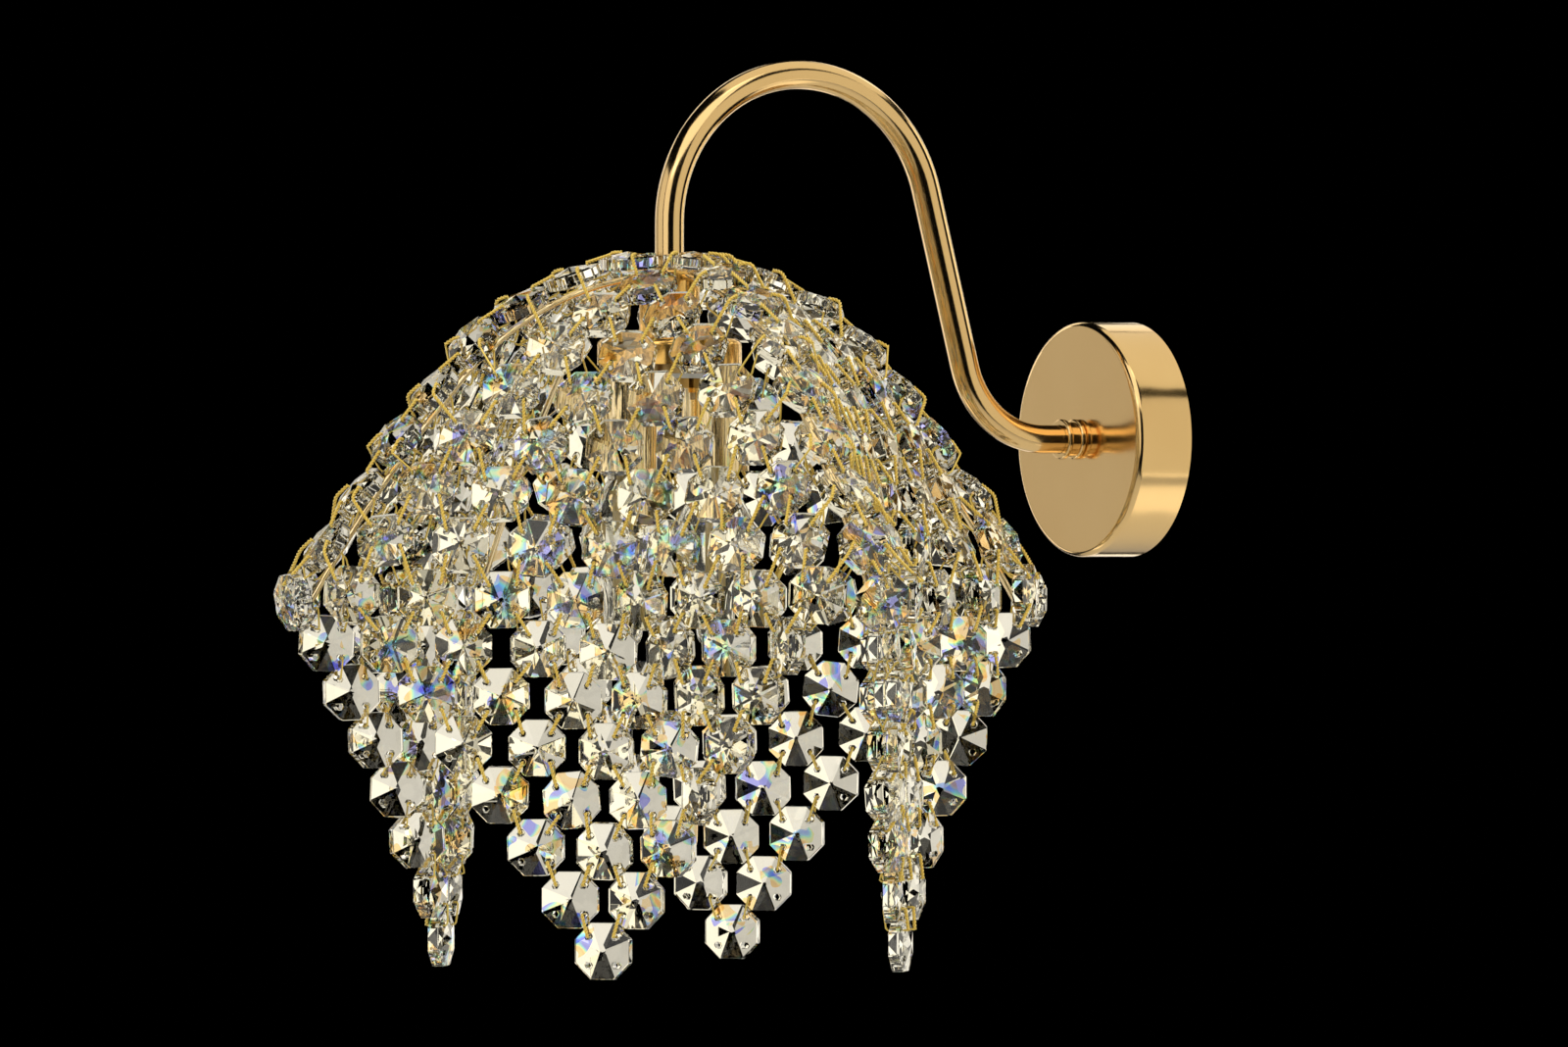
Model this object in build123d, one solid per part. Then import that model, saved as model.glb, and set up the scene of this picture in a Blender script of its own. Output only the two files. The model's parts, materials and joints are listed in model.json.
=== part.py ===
from build123d import *
import os
from math import acos, asin, atan2, copysign, cos, hypot, pi, radians, sin, sqrt

# Wall sconce: a round canopy, a gooseneck tube arm and a shade netted from octagon crystals.
# Millimetres, +Z up. The wall is the plane Y = 0 and the sconce reaches out along -Y.
# The origin is the centre of the canopy's back, on the wall.

# Wall bracket and canopy
canopy_diameter = 100.0
canopy_depth = 26.0
canopy_wall = 1.2
canopy_edge_radius = 3.0
bracket_length = 88.0
bracket_width = 18.0
bracket_thickness = 2.5
bracket_rise = 10.0
bracket_foot = 20.0
screw_spacing = 66.0
screw_slot_width = 4.5
screw_slot_length = 9.0
earth_screw_diameter = 4.0
earth_screw_length = 6.0
earth_screw_head_diameter = 8.0
earth_screw_head_height = 2.6
earth_screw_slot_width = 1.0
earth_screw_slot_depth = 1.0
earth_screw_height = -14.0
terminal_length = 16.0
terminal_depth = 8.0
terminal_height = 9.0
terminal_base_height = 10.5
terminal_poles = 3
terminal_bore = 2.6

# Nipple through bracket and canopy
nipple_diameter = 9.6
nipple_bore = 7.0
nipple_reach_in_arm = 12.0
nipple_start = 3.0
nut_across_flats = 14.0
nut_thickness = 4.0
thread_clearance = 0.1

# Collar and arm
tube_diameter = 12.0
tube_wall = 1.0
collar_diameter = 17.0
collar_neck_diameter = 14.6
collar_length = 9.0
collar_ring_width = 2.6
collar_ring_edge = 0.9
sliding_clearance = 0.15
arm_first_run = 17.0
arm_reverse_radius = 40.0
arm_lean = 14.4
arm_slant_run = 77.0
arm_arch_radius = 63.0
arm_drop = 19.8
lead_diameter = 6.0
lead_start_in_nipple = 8.0
lead_tail_in_shade = 3.0

# Hub, dish and holder bar in the top of the shade
hub_diameter = 25.0
hub_height = 28.2
hub_socket_depth = 17.2
hub_edge_radius = 1.0
spigot_diameter = 10.0
spigot_overrun = 2.0
dish_diameter = 60.0
dish_height = 11.0
dish_wall = 1.5
dish_edge_radius = 3.0
spacer_diameter = 14.0
spacer_length = 13.0
bar_length = 62.0
bar_width = 18.0
bar_thickness = 2.0
holder_spacing = 44.0

# Lampholders and lamps
sleeve_diameter = 28.0
sleeve_wall = 1.0
sleeve_length = 38.5
insulator_diameter = 24.0
insulator_length = 33.0
holder_nipple_length = 14.0
holder_nut_thickness = 3.0
shell_wall = 0.5
shell_length = 24.0
cap_diameter = 13.6
cap_length = 20.0
cap_clearance = 0.3
contact_diameter = 6.0
contact_height = 2.0
glass_diameter = 35.0
glass_length = 78.0
glass_wall = 0.9
glass_neck_diameter = 12.6
filament_diameter = 1.6
filament_length = 38.0
filament_spread = 8.0
filament_count = 4
stem_diameter = 5.0
stem_length = 14.0

# Crystals and links
crystal_across_flats = 23.0
crystal_girdle = 4.6
crystal_crown = 2.4
hole_radius_from_centre = 8.06
hole_across_flats = 2.3
wire = 0.9
link_front_stand = 4.8
link_back_stand = 4.6
ridge_link_back_stand = 3.95
elbow_clearance = 0.35

# Net: rows, ridges over the ribs, panels between the ridges
dome_rows = 9
petal_count = 4
shade_turn = 0.0
first_ridge_radius = 19.5
first_ridge_rise = 3.0
ridge_pitch = 27.0
ridge_first_slope = 14.0
ridge_crown_rows = 4
ridge_crown_step = 11.0
ridge_side_step = 2.5
panel_first_slope = 29.0
panel_slope_step = 9.7
panel_last_slope = 98.0
panel_link_pitch = 26.0
panel_pitch = 30.5
corner_pitch = 26.5
edge_lift = 5.0
edge_hang = 2.45
hang_pitch = 24.9
rib_diameter = 2.6
rib_clearance = 0.3
rib_overrun = 2.0
rib_seat_depth = 3.5

up = Vector(0, 0, 1)
wall = Plane(origin=(0, 0, 0), x_dir=(1, 0, 0), z_dir=(0, -1, 0))
low = (Align.CENTER, Align.CENTER, Align.MIN)


def rod(diameter, length, start=0.0):
    """A round bar along +Z from the height start."""
    return Pos(0, 0, start) * Cylinder(diameter / 2, length, align=low)


def tube(outer, inner, length, start=0.0):
    """A round tube along +Z from the height start."""
    return rod(outer, length, start) - rod(inner, length, start)


def hex_nut(bore, thickness, start=0.0):
    """A hexagon nut with its axis on +Z, starting at the height start."""
    body = extrude(RegularPolygon(nut_across_flats / 2, 6, major_radius=False), thickness)
    return Pos(0, 0, start) * (body - rod(bore, thickness))


# Arm line, as distance out from the canopy's face and height above its centre
lean = radians(arm_lean)
reverse_end = (arm_first_run + arm_reverse_radius * cos(lean), arm_reverse_radius * (1 - sin(lean)))
arch_start = (reverse_end[0] + arm_slant_run * sin(lean), reverse_end[1] + arm_slant_run * cos(lean))
arch_centre = (arch_start[0] + arm_arch_radius * cos(lean), arch_start[1] - arm_arch_radius * sin(lean))
arch_end = (arch_centre[0] + arm_arch_radius, arch_centre[1])
axis_y = -(canopy_depth + arch_end[0])
hub_top = arch_end[1] - arm_drop
hub_bottom = hub_top - hub_height
tube_end = hub_top - hub_socket_depth
shade = Location((0, axis_y, 0))


def arm_point(out, height):
    """A point of the arm's plane, from the distance out and the height."""
    return Vector(0, -canopy_depth - out, height)


def arc_between(centre, radius, start_angle, end_angle):
    """An arc in the arm's plane by its centre, radius and angles from the outward direction."""
    angles = (start_angle, (start_angle + end_angle) / 2, end_angle)
    points = [arm_point(centre[0] + radius * cos(radians(a)), centre[1] + radius * sin(radians(a)))
              for a in angles]
    return ThreePointArc(*points)


def arm_path(start_out, end_height):
    """The arm's centre line, from start_out before or after the face down to end_height."""
    runs = [
        Line(arm_point(start_out, 0), arm_point(arm_first_run, 0)),
        arc_between((arm_first_run, arm_reverse_radius), arm_reverse_radius, -90, -arm_lean),
        Line(arm_point(*reverse_end), arm_point(*arch_start)),
        arc_between(arch_centre, arm_arch_radius, 180 - arm_lean, 0),
        Line(arm_point(*arch_end), arm_point(arch_end[0], end_height)),
    ]
    return Wire(runs)


def along_arm(section, start_out, end_height):
    """A flat section swept along the arm's centre line."""
    face = Plane(origin=arm_point(start_out, 0), z_dir=(0, -1, 0)) * section
    return sweep(face, path=arm_path(start_out, end_height))


# Wall fixing
def make_wall_bracket():
    """A hat-shaped strap: two feet on the wall with slots, a raised middle with the nipple's hole."""
    half = bracket_length / 2
    inner = half - bracket_foot
    t = bracket_thickness
    rise = bracket_rise + t
    outline = [(half, 0), (half, t), (inner, t), (inner, rise), (-inner, rise), (-inner, t), (-half, t),
               (-half, 0), (-inner + t, 0), (-inner + t, rise - t), (inner - t, rise - t), (inner - t, 0)]
    face = make_face(Polyline(*[(0, -y, z) for z, y in outline], close=True))
    strap = Pos(-bracket_width / 2, 0, 0) * extrude(face, amount=bracket_width, dir=(1, 0, 0))
    strap -= wall * rod(nipple_diameter + 2 * thread_clearance, rise)
    strap -= wall * (Pos(0, earth_screw_height, 0) * rod(earth_screw_diameter + 2 * thread_clearance, rise))
    slot = extrude(Rot(0, 0, 90) * SlotOverall(screw_slot_length, screw_slot_width), t)
    for side in (-1, 1):
        strap -= wall * (Pos(0, side * screw_spacing / 2, 0) * slot)
    return strap


bracket_front = bracket_rise + bracket_thickness
face_inside = canopy_depth - canopy_wall


def make_earth_screw():
    """A pan head screw in the raised middle of the bracket."""
    shank = rod(earth_screw_diameter, earth_screw_length, bracket_front - earth_screw_length)
    head = rod(earth_screw_head_diameter, earth_screw_head_height, bracket_front)
    head_top = bracket_front + earth_screw_head_height
    slot = Box(earth_screw_head_diameter, earth_screw_slot_width, earth_screw_slot_depth)
    slot = Pos(0, 0, head_top - earth_screw_slot_depth / 2) * slot
    return wall * (Pos(0, earth_screw_height, 0) * (shank + head - slot))


def make_terminal_block():
    """A block with a row of wire holes, on the front of the bracket."""
    block = Box(terminal_length, terminal_height, terminal_depth, align=(Align.CENTER, Align.MIN, Align.MIN))
    step = terminal_length / terminal_poles
    for pole in range(terminal_poles):
        x = (pole - (terminal_poles - 1) / 2) * step
        block -= Pos(x, 0, terminal_depth / 2) * Rot(-90, 0, 0) * rod(terminal_bore, terminal_height)
    return wall * (Pos(0, terminal_base_height, bracket_front) * block)


def make_nipple():
    """A hollow threaded tube from behind the bracket into the arm."""
    length = canopy_depth + nipple_reach_in_arm - nipple_start
    return wall * tube(nipple_diameter, nipple_bore, length, nipple_start)


def make_nipple_nuts():
    """One nut behind the bracket and one inside the canopy's face."""
    bore = nipple_diameter + 2 * thread_clearance
    behind = hex_nut(bore, nut_thickness, bracket_rise - nut_thickness)
    inside = hex_nut(bore, nut_thickness, face_inside - nut_thickness)
    return [wall * behind, wall * inside]


def make_canopy():
    """A round cup, open to the wall, with a hole for the nipple."""
    cup = rod(canopy_diameter, canopy_depth)
    rim = cup.edges().filter_by(GeomType.CIRCLE).sort_by(Axis.Z)[-1]
    cup = fillet(rim, canopy_edge_radius)
    hollow = rod(canopy_diameter - 2 * canopy_wall, face_inside)
    corner = hollow.edges().filter_by(GeomType.CIRCLE).sort_by(Axis.Z)[-1]
    hollow = fillet(corner, canopy_edge_radius - canopy_wall)
    return wall * (cup - hollow - rod(nipple_diameter + 2 * thread_clearance, canopy_depth))


def make_collar():
    """A turned collar with a ring at each end, standing on the canopy's face round the arm."""
    neck = rod(collar_neck_diameter, collar_length)
    for start in (0.0, collar_length - collar_ring_width):
        ring = rod(collar_diameter, collar_ring_width, start)
        neck += fillet(ring.edges().filter_by(GeomType.CIRCLE), collar_ring_edge)
    neck -= rod(tube_diameter + 2 * sliding_clearance, collar_length)
    return wall * (Pos(0, 0, canopy_depth) * neck)


def make_arm():
    """The gooseneck tube, from the canopy's face into the hub's socket."""
    return along_arm(Circle(tube_diameter / 2) - Circle(tube_diameter / 2 - tube_wall), 0, tube_end)


def make_arm_lead():
    """The sheathed lead inside the nipple, the arm and the hub."""
    start_out = nipple_start - canopy_depth + lead_start_in_nipple
    return along_arm(Circle(lead_diameter / 2), start_out, spigot_end - lead_tail_in_shade)


# Top of the shade, one stack: hub, dish, spacer, bar and nut
spacer_bottom = hub_bottom - dish_wall - spacer_length
bar_bottom = spacer_bottom - bar_thickness
spigot_end = bar_bottom - nut_thickness - spigot_overrun


def make_hub():
    """A turned hub: a socket for the arm, sockets for the ribs, a threaded spigot and a bore for the lead."""
    body = rod(hub_diameter, hub_height, hub_bottom)
    body = fillet(body.edges().filter_by(GeomType.CIRCLE).sort_by(Axis.Z)[-1], hub_edge_radius)
    body += rod(spigot_diameter, hub_bottom - spigot_end, spigot_end)
    body -= rod(tube_diameter + 2 * thread_clearance, hub_socket_depth, tube_end)
    body -= rod(nipple_bore, hub_top - spigot_end, spigot_end)
    sockets = [make_rib(ridge, rib_diameter + 2 * thread_clearance) for ridge in range(petal_count)]
    return shade * body - sockets


def make_dish():
    """A spun dish, open below, clamped under the hub."""
    cup = rod(dish_diameter, dish_height, hub_bottom - dish_height)
    cup = fillet(cup.edges().filter_by(GeomType.CIRCLE).sort_by(Axis.Z)[-1], dish_edge_radius)
    hollow = rod(dish_diameter - 2 * dish_wall, dish_height - dish_wall, hub_bottom - dish_height)
    hollow = fillet(hollow.edges().filter_by(GeomType.CIRCLE).sort_by(Axis.Z)[-1],
                    dish_edge_radius - dish_wall)
    hole = rod(spigot_diameter + 2 * thread_clearance, dish_height, hub_bottom - dish_height)
    return shade * (cup - hollow - hole)


def make_spacer():
    """A plain tube on the spigot that holds the bar below the dish."""
    bore = spigot_diameter + 2 * thread_clearance
    return shade * tube(spacer_diameter, bore, spacer_length, spacer_bottom)


def holder_places():
    """The two lampholder axes, in line with the arm."""
    return [Location((0, axis_y + side * holder_spacing / 2, 0)) for side in (-1, 1)]


def make_holder_bar():
    """A flat bar under the dish that carries the two lampholders."""
    bar = Pos(0, 0, bar_bottom) * Box(bar_width, bar_length, bar_thickness, align=low)
    hole = rod(spigot_diameter + 2 * thread_clearance, bar_thickness, bar_bottom)
    bar -= hole
    for side in (-1, 1):
        bar -= Pos(0, side * holder_spacing / 2, 0) * hole
    return shade * bar


def make_hub_nut():
    """The nut that clamps dish, spacer and bar under the hub."""
    bore = spigot_diameter + 2 * thread_clearance
    return shade * hex_nut(bore, nut_thickness, bar_bottom - nut_thickness)


# Lampholders, hanging below the bar
sleeve_bottom = bar_bottom - sleeve_length
insulator_top = bar_bottom - sleeve_wall
insulator_bottom = insulator_top - insulator_length
shell_inside = cap_diameter + 2 * cap_clearance
shell_outside = shell_inside + 2 * shell_wall
shell_top = insulator_bottom + shell_length
cap_bottom = insulator_bottom - cap_clearance
cap_top = cap_bottom + cap_length


def make_holder_nipples():
    """A short hollow nipple through the bar into each insulator."""
    length = holder_nipple_length
    start = bar_bottom + bar_thickness + holder_nut_thickness - length
    piece = tube(spigot_diameter, nipple_bore, length, start)
    return [place * piece for place in holder_places()]


def make_holder_nuts():
    """A thin nut on the top of each holder nipple."""
    bore = spigot_diameter + 2 * thread_clearance
    piece = hex_nut(bore, holder_nut_thickness, bar_bottom + bar_thickness)
    return [place * piece for place in holder_places()]


def make_insulators():
    """The moulded holder bodies, bored for the screw shell and the nipple."""
    body = rod(insulator_diameter, insulator_length, insulator_bottom)
    body -= rod(shell_outside + 2 * thread_clearance, shell_length, insulator_bottom)
    body -= rod(spigot_diameter + 2 * thread_clearance, insulator_top - shell_top, shell_top)
    return [place * body for place in holder_places()]


def make_screw_shells():
    """Thin brass shells that take the lamp caps."""
    piece = tube(shell_outside, shell_inside, shell_length, insulator_bottom)
    return [place * piece for place in holder_places()]


def make_sleeves():
    """Polished sleeves over the insulators, each closed on top round the nipple."""
    piece = rod(sleeve_diameter, sleeve_length, sleeve_bottom)
    piece -= rod(sleeve_diameter - 2 * sleeve_wall, sleeve_length - sleeve_wall, sleeve_bottom)
    piece -= rod(spigot_diameter + 2 * thread_clearance, sleeve_length, sleeve_bottom)
    return [place * piece for place in holder_places()]


# Lamps
glass_top = cap_bottom
glass_bottom = glass_top - glass_length


def candle(radius, neck_radius, top, bottom):
    """A flame-shaped body of revolution between two heights, narrow at the top."""
    length = top - bottom
    belly = top - 0.42 * length
    shoulder = top - 0.10 * length
    nose = bottom + 0.16 * length
    side = Spline((neck_radius, shoulder), (radius, belly), (0.46 * radius, nose), (0, bottom),
                  tangents=[(0.6, -1), (-1, -0.05)])
    outline = [Line((0, bottom), (0, top)), Line((0, top), (neck_radius, top)),
               Line((neck_radius, top), (neck_radius, shoulder)), side]
    return revolve(Plane.XZ * make_face(outline), Axis.Z)


def make_lamp_glass(place):
    """A hollow clear candle envelope, open at its neck where the cap closes it."""
    outer = candle(glass_diameter / 2, glass_neck_diameter / 2, glass_top, glass_bottom)
    inner = candle(glass_diameter / 2 - glass_wall, glass_neck_diameter / 2 - glass_wall,
                   glass_top, glass_bottom + glass_wall)
    return place * (outer - inner)


def make_lamp_cap(place):
    """The screw cap with its contact button."""
    contact = rod(contact_diameter, contact_height, cap_top)
    return place * (rod(cap_diameter, cap_length, cap_bottom) + contact)


def make_filament(place):
    """A glass stem with upright filament rods round it."""
    piece = rod(stem_diameter, stem_length, glass_top - stem_length)
    ring_top = glass_top - stem_length
    piece += rod(filament_spread + 2 * filament_diameter, filament_diameter, ring_top)
    for step in range(filament_count):
        turn = Rot(0, 0, 360 / filament_count * step)
        bar = rod(filament_diameter, filament_length, ring_top - filament_length)
        piece += turn * (Pos(filament_spread / 2, 0, 0) * bar)
    return place * piece


# Crystal
def make_crystal():
    """An octagon with a shallow eight-sided point on each face and four small drilled holes."""
    corner = crystal_across_flats / 2 / cos(pi / 8)
    half = crystal_girdle / 2
    ring = [(corner * cos(pi / 8 + step * pi / 4), corner * sin(pi / 8 + step * pi / 4)) for step in range(8)]
    front = [Vector(x, y, half) for x, y in ring]
    back = [Vector(x, y, -half) for x, y in ring]
    tips = (Vector(0, 0, half + crystal_crown), Vector(0, 0, -half - crystal_crown))
    faces = []
    for step in range(8):
        after = (step + 1) % 8
        faces.append(Face(Wire.make_polygon([back[step], back[after], front[after], front[step]])))
        faces.append(Face(Wire.make_polygon([front[step], front[after], tips[0]])))
        faces.append(Face(Wire.make_polygon([back[after], back[step], tips[1]])))
    body = Solid(Shell(faces))
    depth = crystal_girdle + 2 * crystal_crown
    drill = extrude(RegularPolygon(hole_across_flats / 2, 6, major_radius=False), depth / 2, both=True)
    reach = hole_radius_from_centre / sqrt(2)
    holes = [Pos(x * reach, y * reach, 0) * drill for x in (-1, 1) for y in (-1, 1)]
    return (body - holes).solid()


crystal_half = crystal_girdle / 2 + crystal_crown


class Crystal:
    """One crystal of the net: its centre, its outward normal and its upward direction."""

    def __init__(self, centre, normal, upward, on_ridge=False):
        self.centre = centre
        self.normal = normal.normalized()
        flat_up = upward - self.normal * upward.dot(self.normal)
        self.upward = flat_up.normalized()
        self.right = self.upward.cross(self.normal)
        self.on_ridge = on_ridge

    def place(self):
        """The location of its solid. A ridge crystal is turned so that a hole points along the ridge."""
        across = self.right
        if self.on_ridge:
            across = (self.right + self.upward).normalized()
        return Location(Plane(origin=self.centre, x_dir=across, z_dir=self.normal))

    def hole(self, side, level):
        """The middle of a hole: side -1, 0 or 1 to the right, level -1, 0 or 1 upward."""
        way = (self.right * side + self.upward * level).normalized()
        return self.centre + way * hole_radius_from_centre

    def past_edge(self, hole, target):
        """The point just past its edge on the straight way from a hole towards a target."""
        way = target - hole
        way = (way - self.normal * way.dot(self.normal)).normalized()
        reach = crystal_across_flats / 2 + wire / 2 + elbow_clearance
        exits = []
        for step in range(8):
            flat = self.right * cos(step * pi / 4) + self.upward * sin(step * pi / 4)
            if way.dot(flat) > 0.01:
                exits.append((reach - (hole - self.centre).dot(flat)) / way.dot(flat))
        return hole + way * min(exits)


# Net layout, round the shade's axis
def level_way(degrees):
    """A level unit direction from the shade's axis."""
    return Vector(cos(radians(degrees)), sin(radians(degrees)), 0)


def ridge_angle(ridge):
    """The direction of a ridge round the shade's axis, in degrees from +X."""
    return shade_turn + 360 / petal_count * ridge


def fall_slope(row):
    """How steeply a ridge falls from one crystal to the next, in degrees. It bends most at the crown."""
    crown = min(row, ridge_crown_rows) - 1
    side = max(row - ridge_crown_rows, 0)
    return ridge_first_slope + crown * ridge_crown_step + side * ridge_side_step


def ridge_slope(row):
    """How steeply the ridge falls at a crystal, in degrees below level."""
    return (fall_slope(row - 1) + fall_slope(row)) / 2


def ridge_profile():
    """Radius and height of each ridge crystal, from the top row down."""
    radius, height = first_ridge_radius, hub_top + first_ridge_rise
    profile = [(radius, height)]
    for row in range(1, dome_rows):
        slope = radians(fall_slope(row))
        radius += ridge_pitch * cos(slope)
        height -= ridge_pitch * sin(slope)
        profile.append((radius, height))
    return profile


def make_ridge(ridge):
    """The crystals over one rib."""
    out = level_way(ridge_angle(ridge))
    crystals = []
    for row, (radius, height) in enumerate(ridge_profile(), 1):
        slope = radians(ridge_slope(row))
        centre = Vector(0, axis_y, height) + out * radius
        normal = out * sin(slope) + up * cos(slope)
        crystals.append(Crystal(centre, normal, up * sin(slope) - out * cos(slope), on_ridge=True))
    return crystals


def panel_profile():
    """Radius and height of the fold in the middle of a panel, row by row. It steepens until it hangs."""
    top_half = first_ridge_radius / sqrt(2)
    radius, height = top_half, hub_top + first_ridge_rise
    profile = [(radius, height)]
    for row in range(1, dome_rows):
        slope = radians(min(panel_first_slope + (row - 1) * panel_slope_step, panel_last_slope))
        half = top_half if row == 1 else panel_pitch / 2
        fall = sqrt(panel_link_pitch ** 2 - half ** 2)
        radius += fall * cos(slope)
        height -= fall * sin(slope)
        profile.append((radius, height))
    return profile


def panel_points(panel, ridges):
    """Centres of all crystals of a panel's dome rows, ridge to ridge.

    Each row runs straight from the fold to both sides. Where it is too long for that, its ends stand
    out, so that the corner of the shade is blunt.
    """
    left, right = ridges[panel], ridges[(panel + 1) % petal_count]
    out = level_way(ridge_angle(panel + 0.5))
    across = up.cross(out)
    rows = []
    for row, (radius, height) in enumerate(panel_profile(), 1):
        fold = Vector(0, axis_y, height) + out * radius
        side = right[row - 1].centre - fold
        span = hypot(side.dot(out), side.dot(across))
        spread = atan2(side.dot(across), side.dot(out))
        half_row = (row - 2) / 2 * panel_pitch
        if row > 2 and span < half_row + corner_pitch:
            spread -= acos((half_row ** 2 + span ** 2 - corner_pitch ** 2) / (2 * half_row * span))
        points = [left[row - 1].centre]
        for place in range(1, row):
            steps = place - row / 2
            reach = abs(steps) * panel_pitch
            rise = (side.Z + edge_lift) * (reach / (half_row + corner_pitch)) ** 2
            sideways = across * copysign(reach * sin(spread), steps)
            points.append(fold + out * (reach * cos(spread)) + sideways + up * rise)
        points.append(right[row - 1].centre)
        rows.append(points)
    return rows


def facing(centre, across, upward):
    """The outward normal of a crystal from its row's direction and its upward direction."""
    normal = across.cross(upward).normalized()
    away = Vector(centre.X, centre.Y - axis_y, crystal_across_flats)
    return normal if normal.dot(away) > 0 else normal * -1


def make_panel(panel, ridges):
    """The crystals of a panel's dome rows, with the shared ridge crystals at both ends."""
    points = panel_points(panel, ridges)
    rows = []
    for row in range(1, dome_rows + 1):
        line = points[row - 1]
        crystals = [ridges[panel][row - 1]]
        for place in range(1, len(line) - 1):
            above = points[row - 2]
            upward = above[place - 1] + above[place] - line[place] * 2
            if row < dome_rows:
                upward += line[place] * 2 - points[row][place] - points[row][place + 1]
            else:
                upward = upward.normalized() + up * edge_hang
            normal = facing(line[place], line[place + 1] - line[place - 1], upward)
            crystals.append(Crystal(line[place], normal, upward))
        crystals.append(ridges[(panel + 1) % petal_count][row - 1])
        rows.append(crystals)
    return rows


def make_petal(edge_row):
    """The hanging rows of a petal: each crystal hangs below the two above it."""
    rows = [edge_row[1:-1]]
    while len(rows[-1]) > 1:
        line = []
        for left, right in zip(rows[-1], rows[-1][1:]):
            across = right.centre - left.centre
            fall = sqrt(hang_pitch ** 2 - (across.length / 2) ** 2)
            centre = left.centre + across * 0.5 - up * fall
            line.append(Crystal(centre, facing(centre, across, up), up))
        rows.append(line)
    return rows


# Links
def shifted_outline(points, distance):
    """A convex outline in a plane, given counter-clockwise, with each side moved out by distance."""
    count = len(points)
    lines = []
    for index in range(count):
        start, end = points[index], points[(index + 1) % count]
        along = (end - start).normalized()
        lines.append((start + Vector(along.Y, -along.X, 0) * distance, along))
    moved = []
    for index in range(count):
        (first, first_way), (second, second_way) = lines[index - 1], lines[index]
        gap = second - first
        travel = gap.cross(second_way).Z / first_way.cross(second_way).Z
        moved.append(first + first_way * travel)
    return moved


def wire_bar(start, end, side):
    """A square wire from start to end, half a wire longer at each end."""
    along = (end - start).normalized()
    length = (end - start).length + wire
    frame = Plane(origin=start - along * (wire / 2), x_dir=side, z_dir=along)
    return frame * Box(wire, wire, length, align=low)


def make_bent_link(upper, upper_hole, lower, lower_hole):
    """A loop bent over a ridge. It clears the front edge of the upper and the back edge of the lower."""
    corners = [
        upper_hole + upper.normal * link_front_stand,
        upper.past_edge(upper_hole, lower_hole) + upper.normal * link_front_stand,
        lower_hole + lower.normal * link_front_stand,
        lower_hole - lower.normal * link_back_stand,
        lower.past_edge(lower_hole, upper_hole) - lower.normal * link_back_stand,
        upper_hole - upper.normal * link_back_stand,
    ]
    side = (lower_hole - upper_hole).cross(upper.normal + lower.normal)
    bars = [wire_bar(corners[step - 1], corners[step], side) for step in range(len(corners))]
    return bars[0].fuse(*bars[1:]).solid()


def make_link(upper, upper_hole, lower, lower_hole):
    """A flat closed wire loop through one hole of each of two crystals."""
    along = (lower_hole - upper_hole).normalized()
    mean = upper.normal + lower.normal
    side = along.cross(mean).normalized()
    frame = Plane(origin=upper_hole - side * (wire / 2), x_dir=along, z_dir=side)
    back_stand = ridge_link_back_stand if lower.on_ridge else link_back_stand

    def corner(crystal, hole, stand):
        """A corner of the loop in its own plane, on the line of a crystal's hole."""
        start = frame.to_local_coords(hole)
        way = frame.to_local_coords(hole + crystal.normal) - start
        return Vector(start.X, start.Y, 0) + Vector(way.X, way.Y, 0).normalized() * stand

    corners = [corner(upper, upper_hole, -back_stand), corner(lower, lower_hole, -back_stand),
               corner(lower, lower_hole, link_front_stand), corner(upper, upper_hole, link_front_stand)]
    outer = Wire.make_polygon(shifted_outline(corners, wire / 2))
    inner = Wire.make_polygon(shifted_outline(corners, -wire / 2))
    return frame * Solid.extrude(Face(outer, [inner]), Vector(0, 0, wire))


def hang_link(parent, child, side):
    """The link from a crystal to one below it, on the side where the parent stands: -1 left, 1 right."""
    if parent.on_ridge:
        return make_bent_link(parent, parent.hole(-side, 0), child, child.hole(side, 1))
    return make_link(parent, parent.hole(-side, -1), child, child.hole(side, 1))


def dome_links(panels, ridges, row):
    """All links from a dome row to the next."""
    links = []
    for ridge in ridges:
        links.append(make_link(ridge[row - 1], ridge[row - 1].hole(0, -1), ridge[row], ridge[row].hole(0, 1)))
    for panel in panels:
        above, below = panel[row - 1], panel[row]
        for place in range(1, len(below) - 1):
            links.append(hang_link(above[place - 1], below[place], -1))
            links.append(hang_link(above[place], below[place], 1))
    return links


def petal_links(rows):
    """All links of a petal, from the dome's edge to the tip."""
    links = []
    for above, below in zip(rows, rows[1:]):
        for left, child, right in zip(above, below, above[1:]):
            links.append(hang_link(left, child, -1))
            links.append(hang_link(right, child, 1))
    return links


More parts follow.
